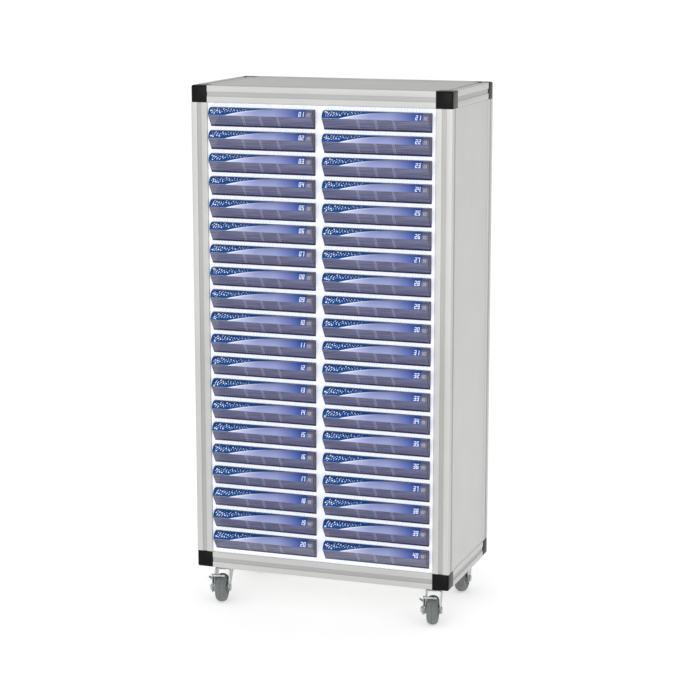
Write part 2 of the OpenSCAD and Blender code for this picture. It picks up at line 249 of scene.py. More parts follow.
class Shader:
    """A node material with one Principled shader, and short ways to add texture nodes."""

    def __init__(self, name, colour, roughness, metallic=0.0, **sockets):
        self.material = bpy.data.materials.new(name)
        self.material.use_nodes = True
        self.tree = self.material.node_tree
        self.bsdf = self.tree.nodes["Principled BSDF"]
        self.set(Base_Color=(*colour, 1), Roughness=roughness, Metallic=metallic, **sockets)
        self.coordinates = self.tree.nodes.new("ShaderNodeTexCoord").outputs["Object"]

    def set(self, **sockets):
        for key, value in sockets.items():
            self.bsdf.inputs[key.replace("_", " ")].default_value = value

    def node(self, kind, **settings):
        made = self.tree.nodes.new("ShaderNode" + kind)
        for key, value in settings.items():
            setattr(made, key, value)
        return made

    def link(self, output, target):
        self.tree.links.new(output, target)

    def math(self, operation, a, b=0.0, clamp=False):
        made = self.node("Math", operation=operation, use_clamp=clamp)
        for value, socket in zip((a, b), made.inputs):
            if isinstance(value, (int, float)):
                socket.default_value = value
            else:
                self.link(value, socket)
        return made.outputs[0]

    def noise(self, size_mm, stretch=(1, 1, 1), detail=3.0):
        """Noise whose grain is about size_mm, longer along an axis whose stretch is over 1."""
        mapping = self.node("Mapping")
        mapping.inputs["Scale"].default_value = [1 / (size_mm * MM * s) for s in stretch]
        self.link(self.coordinates, mapping.inputs["Vector"])
        texture = self.node("TexNoise")
        texture.inputs["Scale"].default_value = 1.0
        texture.inputs["Detail"].default_value = detail
        self.link(mapping.outputs[0], texture.inputs["Vector"])
        return texture.outputs["Fac"]

    def ramp(self, value, *stops):
        """Colour ramp through (position, colour) stops."""
        made = self.node("ValToRGB")
        elements = made.color_ramp.elements
        while len(elements) < len(stops):
            elements.new(0.5)
        for element, (position, colour) in zip(elements, stops):
            element.position = position
            element.color = (*colour, 1)
        self.link(value, made.inputs[0])
        return made.outputs["Color"]

    def vary_colour(self, noise, dark, light):
        self.link(self.ramp(noise, (0.3, dark), (0.7, light)), self.bsdf.inputs["Base Color"])

    def vary_roughness(self, noise, low, high):
        spread = self.node("MapRange")
        spread.inputs["From Min"].default_value = 0.3
        spread.inputs["From Max"].default_value = 0.7
        spread.inputs["To Min"].default_value = low
        spread.inputs["To Max"].default_value = high
        self.link(noise, spread.inputs["Value"])
        self.link(spread.outputs[0], self.bsdf.inputs["Roughness"])

    def bump(self, noise, depth_mm, strength=1.0):
        made = self.node("Bump")
        made.inputs["Strength"].default_value = strength
        made.inputs["Distance"].default_value = depth_mm * MM
        self.link(noise, made.inputs["Height"])
        self.link(made.outputs[0], self.bsdf.inputs["Normal"])

    def mix(self, share, a, b):
        """Colour a where share is 0 and b where it is 1."""
        made = self.node("Mix", data_type="RGBA")
        for value, socket in ((share, made.inputs[0]), (a, made.inputs[6]), (b, made.inputs[7])):
            if isinstance(value, tuple):
                socket.default_value = (*value, 1)
            else:
                self.link(value, socket)
        return made.outputs[2]


def profile_material(name, dark, light):
    """Satin anodised aluminium, with faint drawing lines along the piece's own Z."""
    shader = Shader(name, light, 0.38, metallic=0.25, Specular_IOR_Level=0.5)
    lines = shader.noise(0.5, stretch=(1, 1, 400))
    shader.vary_colour(shader.noise(60, stretch=(1, 1, 5)), dark, light)
    shader.vary_roughness(lines, 0.32, 0.46)
    shader.bump(lines, 0.01, 0.25)
    return shader.material


def black_material():
    shader = Shader("black_plastic", (0.002, 0.002, 0.0018), 0.3, Specular_IOR_Level=0.14)
    grain = shader.noise(0.45)
    shader.vary_colour(shader.noise(12), (0.0015, 0.0015, 0.0014), (0.003, 0.003, 0.0028))
    shader.vary_roughness(shader.noise(4), 0.26, 0.36)
    shader.bump(grain, 0.03, 0.3)
    return shader.material


def panel_material():
    """Powder coat with a fine orange peel."""
    shader = Shader("grey_powder_coat", (0.6, 0.6, 0.59), 0.5, Specular_IOR_Level=0.4)
    shader.vary_colour(shader.noise(120), (0.585, 0.58, 0.575), (0.615, 0.61, 0.605))
    shader.vary_roughness(shader.noise(5), 0.46, 0.56)
    shader.bump(shader.noise(0.9, detail=2), 0.03, 0.3)
    return shader.material


def board_material():
    """White fluted polypropylene, with a faint glow that keeps it bright between the drawers."""
    shader = Shader("white_board", (0.9, 0.92, 0.99), 0.42, Specular_IOR_Level=0.4)
    shader.set(Emission_Color=(0.8, 0.87, 1, 1), Emission_Strength=0.12)
    shader.vary_colour(shader.noise(20), (0.89, 0.91, 0.98), (0.92, 0.935, 1.0))
    shader.bump(shader.noise(1.6), 0.02, 0.2)
    return shader.material


def zinc_material(name, dark, light, roughness):
    """Bright zinc plate with a soft mottle."""
    shader = Shader(name, light, roughness, metallic=0.9)
    shader.vary_colour(shader.noise(5), dark, light)
    shader.vary_roughness(shader.noise(1.5), roughness - 0.06, roughness + 0.1)
    shader.bump(shader.noise(0.6), 0.01, 0.3)
    return shader.material


def rubber_material():
    shader = Shader("grey_rubber", (0.16, 0.17, 0.17), 0.55, Specular_IOR_Level=0.4)
    shader.vary_colour(shader.noise(6), (0.145, 0.155, 0.155), (0.185, 0.195, 0.195))
    shader.vary_roughness(shader.noise(2), 0.48, 0.66)
    shader.bump(shader.noise(0.5), 0.04, 0.4)
    return shader.material


def hub_material():
    shader = Shader("grey_nylon", (0.22, 0.23, 0.23), 0.4, Specular_IOR_Level=0.5)
    shader.vary_colour(shader.noise(8), (0.19, 0.2, 0.2), (0.24, 0.25, 0.25))
    shader.bump(shader.noise(0.8), 0.02, 0.3)
    return shader.material


def clear_plastic(name, dark, light, alpha):
    """A clear moulded plastic, and its tint, which runs in faint flow streaks along the width."""
    shader = Shader(name, light, 0.14, Specular_IOR_Level=0.55, Alpha=alpha)
    tint = shader.ramp(shader.noise(2.6, stretch=(30, 1, 1)), (0.3, dark), (0.7, light))
    shader.vary_roughness(shader.noise(9), 0.1, 0.2)
    shader.bump(shader.noise(7, stretch=(3, 1, 1)), 0.05, 0.3)
    return shader, tint


def divider_material():
    shader, tint = clear_plastic("divider_plastic", (0.55, 0.55, 0.66), (0.75, 0.75, 0.86), 0.85)
    shader.link(tint, shader.bsdf.inputs["Base Color"])
    return shader.material


def tray_material():
    """Smoke plastic, darker and denser along the tray's floor and ends, with lines at the guides."""
    alpha, edge_alpha = 0.8, 0.92
    line_colour, edge_colour = (0.6, 0.6, 0.72), (0.035, 0.028, 0.085)
    floor_h, end_w = 4.0, 1.6
    line_fall, line_share, lines_reach = 1.1, 0.7, 0.6 * LANE
    shader, tint = clear_plastic("smoke_plastic", (0.1, 0.1, 0.175), (0.245, 0.245, 0.38), alpha)
    axes = shader.node("SeparateXYZ")
    shader.link(shader.coordinates, axes.inputs[0])
    wide = shader.math("ABSOLUTE", axes.outputs["X"])
    floor = shader.math("SUBTRACT", floor_h * MM, axes.outputs["Z"])
    floor = shader.math("MULTIPLY", floor, 1 / MM, clamp=True)
    end = shader.math("SUBTRACT", wide, (TRAY_W / 2 - end_w) * MM)
    end = shader.math("MULTIPLY", end, 1 / MM, clamp=True)
    edge = shader.math("MAXIMUM", floor, end)
    # Two pale lines at each guide: the pattern repeats every half lane, from the middle outwards
    line = shader.math("PINGPONG", wide, LANE / 4 * MM)
    line = shader.math("ABSOLUTE", shader.math("SUBTRACT", line, WEB_REACH * MM))
    line = shader.math("SUBTRACT", 1.0, shader.math("MULTIPLY", line, line_fall / MM), clamp=True)
    inner = shader.math("LESS_THAN", wide, lines_reach * MM)
    line = shader.math("MULTIPLY", shader.math("MULTIPLY", line, inner), line_share)
    colour = shader.mix(edge, shader.mix(line, tint, line_colour), edge_colour)
    shader.link(colour, shader.bsdf.inputs["Base Color"])
    density = shader.node("MapRange")
    density.inputs["To Min"].default_value = alpha
    density.inputs["To Max"].default_value = edge_alpha
    shader.link(edge, density.inputs["Value"])
    shader.link(density.outputs[0], shader.bsdf.inputs["Alpha"])
    return shader.material


def label_material():
    """Printed card: a deep blue swoosh that thins out along the top edge, over lavender and blue."""
    deep, bright = (0.0, 0.05, 0.23), (0.0, 0.075, 0.29)
    lavender, pale, blue = (0.3, 0.335, 0.6), (0.62, 0.65, 0.88), (0.025, 0.08, 0.36)
    shader = Shader("printed_label", deep, 0.35, Specular_IOR_Level=0.12)
    axes = shader.node("SeparateXYZ")
    shader.link(shader.coordinates, axes.inputs[0])
    across = shader.math("DIVIDE", shader.math("SUBTRACT", axes.outputs["X"], LABEL_LEFT * MM),
                         (LABEL_RIGHT - LABEL_LEFT) * MM)
    up = shader.math("DIVIDE", shader.math("SUBTRACT", axes.outputs["Z"], NOSE_RIDGE_Z * MM),
                     (TRAY_H - NOSE_RIDGE_Z) * MM)
    # The swoosh's lower edge climbs from the bottom at swoosh_start to the top at swoosh_end
    swoosh_start, swoosh_end, swoosh_power = 0.17, 0.98, 3.3
    edge_sharpness, rim_sharpness = 40.0, 5.0
    rim_start, rim_fall = 1.3, 2.6
    along = shader.math("DIVIDE", shader.math("SUBTRACT", across, swoosh_start),
                        swoosh_end - swoosh_start, clamp=True)
    edge = shader.math("SUBTRACT", 1.0,
                       shader.math("POWER", shader.math("SUBTRACT", 1.0, along), swoosh_power))
    above = shader.math("SUBTRACT", up, edge)
    inside = shader.math("MULTIPLY", above, edge_sharpness, clamp=True)
    ground = shader.ramp(across, (0.2, pale), (0.48, lavender), (0.68, lavender), (0.95, blue))
    # A white rim under the swoosh's edge, which fades out to the right
    near = shader.math("MULTIPLY", shader.math("ABSOLUTE", above), rim_sharpness)
    near = shader.math("SUBTRACT", 1.0, near, clamp=True)
    fade = shader.math("SUBTRACT", rim_start, shader.math("MULTIPLY", along, rim_fall), clamp=True)
    rim = shader.math("MULTIPLY", near, fade, clamp=True)
    print_blue = shader.mix(shader.noise(14), deep, bright)
    ground = shader.mix(rim, ground, (0.9, 0.9, 0.95))
    shader.link(shader.mix(inside, ground, print_blue), shader.bsdf.inputs["Base Color"])
    shader.bump(shader.noise(0.7), 0.01, 0.2)
    return shader.material


def ink_material():
    shader = Shader("white_ink", (0.85, 0.87, 0.95), 0.35, Specular_IOR_Level=0.4)
    shader.vary_colour(shader.noise(3), (0.8, 0.83, 0.93), (0.9, 0.92, 0.98))
    shader.bump(shader.noise(0.5), 0.005, 0.2)
    return shader.material


PROFILE = profile_material("anodised_profile", (0.52, 0.52, 0.505), (0.58, 0.58, 0.565))
# The channel's floor takes a darker copy of the anodised finish: painted shade, since the recess is
# lit less than the flat faces.
CHANNEL_PAINTED_SHADE = profile_material("profile_channel_painted_shade", (0.38, 0.38, 0.37), (0.43, 0.43, 0.42))
BLACK = black_material()
PANEL = panel_material()
BOARD = board_material()
ZINC = zinc_material("zinc_steel", (0.34, 0.37, 0.365), (0.53, 0.56, 0.555), 0.28)
# A darker copy of the zinc, for the front casters' races and stems just under the frame: painted
# shade.
ZINC_PAINTED_SHADE = zinc_material("zinc_painted_shade", (0.12, 0.15, 0.145), (0.22, 0.25, 0.24), 0.34)
RUBBER = rubber_material()
NYLON = hub_material()
SMOKE = tray_material()
CLEAR = divider_material()
LABEL = label_material()
INK = ink_material()


# ---- Frame ---------------------------------------------------------------------------------------

CHANNEL_DEPTH = 1.2


def profile_outline():
    """Square profile with rounded corners and a shallow channel along the two outer faces."""
    half = RAIL / 2
    channel_half = 5.0
    depth = CHANNEL_DEPTH
    corner_r = 1.4
    lip_r = 0.4

    def side():
        """The face at -Y, from its left end to its right end, before the corner."""
        points = [(-half + corner_r, -half)]
        points += arc(-channel_half - lip_r, -half + lip_r, lip_r, -90, 0, 3)
        points += [(-channel_half, -half + depth), (channel_half, -half + depth)]
        points += arc(channel_half + lip_r, -half + lip_r, lip_r, 180, 270, 3)
        return points

    outline = []
    for turn in range(4):
        a = math.radians(90 * turn)
        corner = arc(half - corner_r, -half + corner_r, corner_r, -90, 0, 5)
        for x, y in side() + corner:
            outline.append((x * math.cos(a) - y * math.sin(a), x * math.sin(a) + y * math.cos(a)))
    return outline


def profile_mesh(name, length):
    bm = bmesh.new()
    prism(bm, profile_outline(), 0, length, "z")
    floor_at = RAIL / 2 - CHANNEL_DEPTH
    # Faces of the channel's floor take the second material, the darker copy, which paints the recess's
    # shade.
    for face in bm.faces:
        middle = face.calc_center_median()
        reach = max(abs(middle.x), abs(middle.y))
        if len(face.verts) == 4 and abs(reach - floor_at) < 0.01:
            face.material_index = 1
    return finish_mesh(name, bm, PROFILE, CHANNEL_PAINTED_SHADE)


def add_frame():
    along_x = Matrix.Rotation(math.radians(90), 4, "Y")
    along_y = Matrix.Rotation(math.radians(-90), 4, "X")
    lengths = [frame_high[i] - frame_low[i] - 2 * RAIL for i in range(3)]
    post = profile_mesh("post", lengths[2])
    cross = profile_mesh("cross_rail", lengths[0])
    side = profile_mesh("side_rail", lengths[1])
    xs = {"left": frame_low.x + RAIL / 2, "right": frame_high.x - RAIL / 2}
    ys = {"front": frame_low.y + RAIL / 2, "back": frame_high.y - RAIL / 2}
    zs = {"bottom": frame_low.z + RAIL / 2, "top": frame_high.z - RAIL / 2}
    start = [frame_low[i] + RAIL for i in range(3)]
    for y_name, y in ys.items():
        for x_name, x in xs.items():
            add_piece(f"post_{y_name}_{x_name}", post, "cabinet",
                      (x, y, start[2]), replaces=["frame_posts"])
        for z_name, z in zs.items():
            add_piece(f"rail_{y_name}_{z_name}", cross, "cabinet",
                      (start[0], y, z), along_x, ["frame_rails"])
    for x_name, x in xs.items():
        for z_name, z in zs.items():
            add_piece(f"rail_{x_name}_{z_name}", side, "cabinet",
                      (x, start[1], z), along_y, ["frame_rails"])


def corner_block_mesh():
    """A block whose outer corner is at the origin, with its body towards +X +Y +Z."""
    bm = bmesh.new()
    box(bm, (0, 0, 0), (RAIL, RAIL, RAIL))
    outer_r = 4.0
    edge_r = 0.5

    def outer(edge):
        return sum(all(abs(v.co[i]) < 1e-6 for v in edge.verts) for i in range(3)) == 2

    round_edges(bm, outer_r, segments=6, keep=outer)
    round_edges(bm, edge_r, segments=2, angle=60)
    return finish_mesh("corner_block", bm, BLACK, sharp=40)


def add_corner_blocks():
    block = corner_block_mesh()
    number = 0
    for x, sx in ((frame_low.x, 1), (frame_high.x, -1)):
        for y, sy in ((frame_low.y, 1), (frame_high.y, -1)):
            for z, sz in ((frame_low.z, 1), (frame_high.z, -1)):
                number += 1
                mesh = block.copy()
                mesh.transform(Matrix.Diagonal((sx, sy, sz, 1)))
                if sx * sy * sz < 0:
                    mesh.flip_normals()
                add_piece(f"corner_block_{number}", mesh, "cabinet",
                          (x, y, z), replaces=["corner_connectors"])


def slab_mesh(name, low, high, material, edge_r=0.6):
    bm = bmesh.new()
    box(bm, low, high)
    round_edges(bm, edge_r, segments=3)
    return finish_mesh(name, bm, material)


def add_panels():
    for name in ("top_panel", "back_panel"):
        low, high = box_mm(name)
        mesh = slab_mesh(name + "_sheet", low, high, PANEL)
        add_piece(name + "_sheet", mesh, "cabinet", replaces=[name])
    low, high = box_mm("side_panels")
    panel_t = 4.0
    for side, sign in SIDES.items():
        outer = high.x * sign
        inner = (high.x - panel_t) * sign
        mesh = slab_mesh(f"side_panel_{side}", (min(outer, inner), low.y, low.z),
                         (max(outer, inner), high.y, high.z), PANEL)
        add_piece(f"side_panel_{side}", mesh, "cabinet", replaces=["side_panels"])
    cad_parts["base_panel"].data.materials.clear()
    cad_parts["base_panel"].data.materials.append(PANEL)


# ---- Drawer housing ------------------------------------------------------------------------------

def fluted_board_mesh(name, thickness):
    """A twin-wall board, its front edge at y = 0 with the open ends of its flutes."""
    width = BAY_W - SEAT_GAP
    depth = housing_high.y - HOUSING_FRONT
    pitch = 6.4
    web = 1.2
    skin = 1.1
    recess = 3.0
    cells = int((width - web) // pitch)
    first = -cells * pitch / 2
    xs = [-width / 2]
    for i in range(cells):
        xs += [first + i * pitch + web / 2, first + (i + 1) * pitch - web / 2]
    xs.append(width / 2)
    zs = [0, skin, thickness - skin, thickness]
    bm = bmesh.new()
    front = [[bm.verts.new((x, 0, z)) for z in zs] for x in xs]
    for i in range(len(xs) - 1):
        is_cell = i % 2 == 1
        for j in range(3):
            corners = [front[i][j], front[i + 1][j], front[i + 1][j + 1], front[i][j + 1]]
            if not (is_cell and j == 1):
                bm.faces.new(corners)
                continue
            deep = [bm.verts.new((v.co.x, recess, v.co.z)) for v in corners]
            bm.faces.new(deep)
            for k in range(4):
                n = (k + 1) % 4
                bm.faces.new((corners[k], corners[n], deep[n], deep[k]))
    back = [bm.verts.new((x, depth, z)) for x, z in
            ((xs[0], 0), (xs[-1], 0), (xs[-1], thickness), (xs[0], thickness))]
    bm.faces.new(back)
    bm.faces.new([column[0] for column in front] + [back[1], back[0]])
    bm.faces.new([column[-1] for column in front] + [back[2], back[3]])
    bm.faces.new(front[0] + [back[3], back[0]])
    bm.faces.new(front[-1] + [back[2], back[1]])
    bmesh.ops.recalc_face_normals(bm, faces=bm.faces)
    return finish_mesh(name, bm, BOARD)


def opening_z(row):
    """Bottom of a row's opening; row 1 is the highest."""
    return first_low.z - FREE_GAP - (row - 1) * ROW_PITCH


def add_housing():
    edge_t = opening_z(ROWS) - housing_low.z
    shelf = fluted_board_mesh("shelf_board", BOARD_T)
    edge = fluted_board_mesh("edge_board", edge_t)
    for side, sign in SIDES.items():
        x = BAY_X * sign
        for row in range(1, ROWS):
            add_piece(f"shelf_{side}_{row:02d}", shelf, "cabinet",
                      (x, HOUSING_FRONT, opening_z(row) - BOARD_T), replaces=["drawer_housing"])
        for end, z in (("bottom", housing_low.z), ("top", opening_z(1) + OPENING_H)):
            add_piece(f"shelf_{side}_{end}", edge, "cabinet",
                      (x, HOUSING_FRONT, z), replaces=["drawer_housing"])
    side_t = housing_high.x - (BAY_X + BAY_W / 2)
    uprights = [("partition", -PARTITION_T / 2, PARTITION_T / 2),
                ("housing_side_left", housing_low.x, housing_low.x + side_t),
                ("housing_side_right", housing_high.x - side_t, housing_high.x)]
    for name, x0, x1 in uprights:
        mesh = slab_mesh(name, (x0 + SEAT_GAP / 2, HOUSING_FRONT, housing_low.z),
                         (x1 - SEAT_GAP / 2, housing_high.y, housing_high.z), BOARD, 0.8)
        add_piece(name, mesh, "cabinet", replaces=["drawer_housing"])


# ---- Drawers -------------------------------------------------------------------------------------
# A drawer's own origin is at the middle of its width, at the shelf boards' front and its own bottom.

NOSE_RY = NOSE_OUT - NOSE_TOP
NOSE_RZ = TRAY_H - NOSE_RIDGE_Z


def nose_arc(inset, steps=NOSE_STEPS):
    """Quarter ellipse of the nose's upper face as (y, z) points, from the ridge to the top edge."""
    points = []
    for i in range(steps + 1):
        a = math.radians(90 * i / steps)
        points.append((-NOSE_TOP - (NOSE_RY - inset) * math.cos(a),
                       NOSE_RIDGE_Z + (NOSE_RZ - inset) * math.sin(a)))
    return points


def tray_mesh():
    ledge_t = 0.7
    ledge = [(-NOSE_OUT + 1.3, NOSE_RIDGE_Z - 1.8), (-NOSE_OUT + 0.2 - ledge_t, NOSE_RIDGE_Z - 1.2),
             (-NOSE_OUT - ledge_t, NOSE_RIDGE_Z - 0.2), (-NOSE_OUT, NOSE_RIDGE_Z)]
    outline = [(0, 0)] + ledge + nose_arc(0)[1:]
    outline += [(-NOSE_TOP + TRAY_WALL, TRAY_H), (-NOSE_TOP + TRAY_WALL, TRAY_SIDE_H),
                (TRAY_L, TRAY_SIDE_H), (TRAY_L, 0)]
    outer = solid(outline, -TRAY_W / 2, TRAY_W / 2, "x")
    round_edges(outer, 0.7, segments=3)
    slope = math.hypot(NOSE_OUT, NOSE_RIDGE_Z) / NOSE_RIDGE_Z
    hollow = [(TRAY_WALL * slope - NOSE_OUT / NOSE_RIDGE_Z * TRAY_WALL, TRAY_WALL),
              (-NOSE_OUT + TRAY_WALL * slope, NOSE_RIDGE_Z)]
    hollow += [p for p in nose_arc(TRAY_WALL) if p[0] > hollow[1][0] + 0.1]
    hollow += [(-NOSE_TOP, TRAY_H + 1), (TRAY_L - TRAY_WALL, TRAY_H + 1),
               (TRAY_L - TRAY_WALL, TRAY_WALL)]
    inner = solid(hollow, -TRAY_W / 2 + TRAY_WALL, TRAY_W / 2 - TRAY_WALL, "x")
    guides = bmesh.new()
    rib_reach, rib_h = 3.0, 30.0
    web = [(-0.3, 0.5), (-NOSE_OUT + 1, NOSE_RIDGE_Z), (-NOSE_OUT + 6, rib_h + 3), (-0.3, rib_h + 3)]
    for x in GUIDE_XS:
        for s in (-1, 1):
            x0 = x + s * WEB_REACH - WEB_T / 2
            prism(guides, web, x0, x0 + WEB_T, "x")
            box(guides, (x0, TRAY_L - TRAY_WALL - rib_reach, 0.5),
                (x0 + WEB_T, TRAY_L - TRAY_WALL + 0.5, rib_h + 0.5))
    bm = combine(outer, ("DIFFERENCE", inner), ("UNION", guides))
    # The webs' faces take the paler plastic
    web_xs = [x + s * (WEB_GAP / 2 + e * WEB_T) for x in GUIDE_XS for s in (-1, 1) for e in (0, 1)]
    for face in bm.faces:
        middle = face.calc_center_median()
        if abs(face.normal.x) > 0.9 and min(abs(middle.x - x) for x in web_xs) < 0.05:
            face.material_index = 1
    return finish_mesh("tray", bm, SMOKE, CLEAR)


def divider_mesh():
    thickness = 1.6
    z0 = TRAY_WALL + SEAT_GAP
    top = TRAY_SIDE_H - 2
    end = TRAY_L - TRAY_WALL - SEAT_GAP
    outline = [(2, z0), (-NOSE_OUT + 7.5, NOSE_RIDGE_Z - 4), (-NOSE_OUT + 7.5, NOSE_RIDGE_Z + 3),
               (0, top), (end, top), (end, z0)]
    bm = solid(outline, -thickness / 2, thickness / 2, "x")
    round_edges(bm, 0.3, segments=2)
    return finish_mesh("divider", bm, CLEAR)


def card_arc(lift):
    """The label's (y, z) points at a height over the nose's surface, at most FREE_GAP/2 at the top."""
    points = []
    for i in range(NOSE_STEPS + 1):
        a = math.radians(90 * i / NOSE_STEPS)
        rz = NOSE_RZ + min(lift, FREE_GAP / 2)
        points.append((-NOSE_TOP - (NOSE_RY + lift) * math.cos(a), NOSE_RIDGE_Z + rz * math.sin(a)))
    return points


def label_mesh():
    outline = card_arc(SEAT_GAP) + card_arc(SEAT_GAP + LABEL_T)[::-1]
    return finish_mesh("label", solid(outline, LABEL_LEFT, LABEL_RIGHT, "x"), LABEL)


def nose_y(share, lift):
    """Y of the nose's upper face, raised by lift, at this share of its height over the ridge."""
    return -NOSE_TOP - (NOSE_RY + lift) * math.sqrt(1 - share * share)


def on_card(x, z):
    """The point of the ink on the label's face at this x and height."""
    ink_lift = 0.06
    share = min(1.0, (z - NOSE_RIDGE_Z) / (NOSE_RZ + FREE_GAP / 2))
    return (x, nose_y(share, SEAT_GAP + LABEL_T + ink_lift), z)


def print_patch(bm, rows):
    """Ink between left and right edges, as (z, left x, right x) rows from the bottom up."""
    pairs = [[bm.verts.new(on_card(x, z)) for x in (left, right)] for z, left, right in rows]
    for (a, b), (d, c) in zip(pairs, pairs[1:]):
        bm.faces.new((a, b, c, d))


def print_bar(bm, x0, z0, x1, z1, slant=0.0, steps=4):
    """A rectangle of ink whose top leans right by slant."""
    rows = []
    for i in range(steps + 1):
        t = i / steps
        rows.append((z0 + (z1 - z0) * t, x0 + slant * t, x1 + slant * t))
    print_patch(bm, rows)


def print_dot(bm, x, z, rx, rz):
    steps = 6
    rows = []
    for i in range(steps + 1):
        a = math.radians(-90 + 180 * i / steps)
        half = max(0.02, rx * math.cos(a))
        rows.append((z + rz * math.sin(a), x - half, x + half))
    print_patch(bm, rows)


# Segments of a digit that are inked: top, upper left, upper right, middle, lower left, lower right,
# bottom
DIGITS = ["1110111", "0010010", "1011101", "1011011", "0111010",
          "1101011", "1101111", "1010010", "1111111", "1111011"]


def print_digit(bm, digit, x, z, w, h, t):
    bars = [(x, z + h - t, x + w, z + h), (x, z + h / 2, x + t, z + h),
            (x + w - t, z + h / 2, x + w, z + h), (x, z + (h - t) / 2, x + w, z + (h + t) / 2),
            (x, z, x + t, z + h / 2), (x + w - t, z, x + w, z + h / 2), (x, z, x + w, z + t)]
    for inked, bar in zip(DIGITS[digit], bars):
        if inked == "1":
            print_bar(bm, *bar)


def print_mesh(number):
    """White print on a label: the drawer's number at the right, and a spray of dashes at the left."""
    bm = bmesh.new()
    digit_w, digit_h, stroke, digit_gap = 5.0, 9.6, 1.5, 1.5
    digits_x, digits_z = LABEL_RIGHT - 14.5, NOSE_RIDGE_Z + 1.8
    for place, character in enumerate(f"{number:02d}"):
        print_digit(bm, int(character), digits_x + place * (digit_w + digit_gap), digits_z,
                    digit_w, digit_h, stroke)
    # Marks are scattered by the golden ratio over the swoosh, larger and denser at its left end
    marks, spray_start, spray_end, golden = 40, 5.0, 88.0, 0.618034
    for k in range(marks):
        share = (k + 0.5) / marks
        x = LABEL_LEFT + spray_start + (spray_end - spray_start) * share ** 1.15
        low = 2.4 + 8.6 * share
        z = NOSE_RIDGE_Z + low + (NOSE_RZ - 1.6 - low) * ((k + number) * golden % 1)
        size = (1 - 0.62 * share) * (1.25 + 0.55 * math.sin(1.7 * k + number))
        if k % 3 == 1:
            print_bar(bm, x, z - size, x + 1.2 * size, z + size, slant=1.2 * size)
        else:
            print_dot(bm, x, z, size * 1.3, size * 0.9)
    return finish_mesh(f"print_{number:02d}", bm, INK)


def grip_mesh():
    """Three raised ticks moulded beside the label's end."""
    bm = bmesh.new()
    tick_w, tick_h, pitch = 0.9, 7.0, 2.6
    ticks, steps = 3, 5
    first_x, first_z = LABEL_RIGHT + 4, NOSE_RIDGE_Z + 2
    sunk, raised = -0.3, 0.45
    zs = [first_z + tick_h * k / steps for k in range(steps + 1)]
    inner, outer = ([(nose_y((z - NOSE_RIDGE_Z) / NOSE_RZ, lift), z) for z in zs]
                    for lift in (sunk, raised))
    for i in range(ticks):
        x = first_x + i * pitch
        prism(bm, inner + outer[::-1], x, x + tick_w, "x")
    round_edges(bm, 0.15, segments=1, angle=50)
    return finish_mesh("grip_ticks", bm, CLEAR)


def add_drawers():
    tray, divider, label, grip = tray_mesh(), divider_mesh(), label_mesh(), grip_mesh()
    for column, (side, sign) in enumerate(SIDES.items()):
        for row in range(1, ROWS + 1):
            name = f"drawer_{side}_{row:02d}"
            origin = Vector((sign * BAY_X, HOUSING_FRONT, opening_z(row) + FREE_GAP))
            add_piece(name + "_tray", tray, name, origin, replaces=[name])
            add_piece(name + "_label", label, name, origin, replaces=[name])
            add_piece(name + "_print", print_mesh(row + ROWS * column), name, origin)
            add_piece(name + "_grip", grip, name, origin)
            for k, x in enumerate((GUIDE_XS[0], GUIDE_XS[-1]), 1):
                add_piece(f"{name}_divider_{k}", divider, name,
                          origin + Vector((x, 0, 0)))


# ---- Casters -------------------------------------------------------------------------------------
# Every caster mesh has the stem's axis on Z and the floor at z = 0. A swivel caster trails to -Y.

LEG_IN = 15.0
LEG_T = 2.5
FORK_TOP_Z = CASTER_H - 8
BOSS_R = 11.0
BOSS_H = 3.0
BOSS_OFFSET = 4.0            # from the axle, so that the lever turns about another point
BOSS_ANGLE = math.radians(60)
BOSS_Y = -(TRAIL - BOSS_OFFSET * math.cos(BOSS_ANGLE))
BOSS_Z = WHEEL_R + BOSS_OFFSET * math.sin(BOSS_ANGLE)
LEVER_X = -LEG_IN - LEG_T - 2.4
LEVER_T = 2.0
X_TO_Z = Matrix.Rotation(math.radians(-90), 4, "Y")


def turned_z(profile, steps=72):
    """A bmesh of a closed (radius, z) profile turned round Z."""
    bm = bmesh.new()
    lathe(bm, profile, steps)
    bmesh.ops.transform(bm, matrix=X_TO_Z, verts=bm.verts)
    return bm


def merge(target, source, matrix=None):
    """Adds a bmesh to another one and frees it."""
    if matrix is not None:
        bmesh.ops.transform(source, matrix=matrix, verts=source.verts)
    mesh = bpy.data.meshes.new("scratch")
    source.to_mesh(mesh)
    source.free()
    target.from_mesh(mesh)
    bpy.data.meshes.remove(mesh)


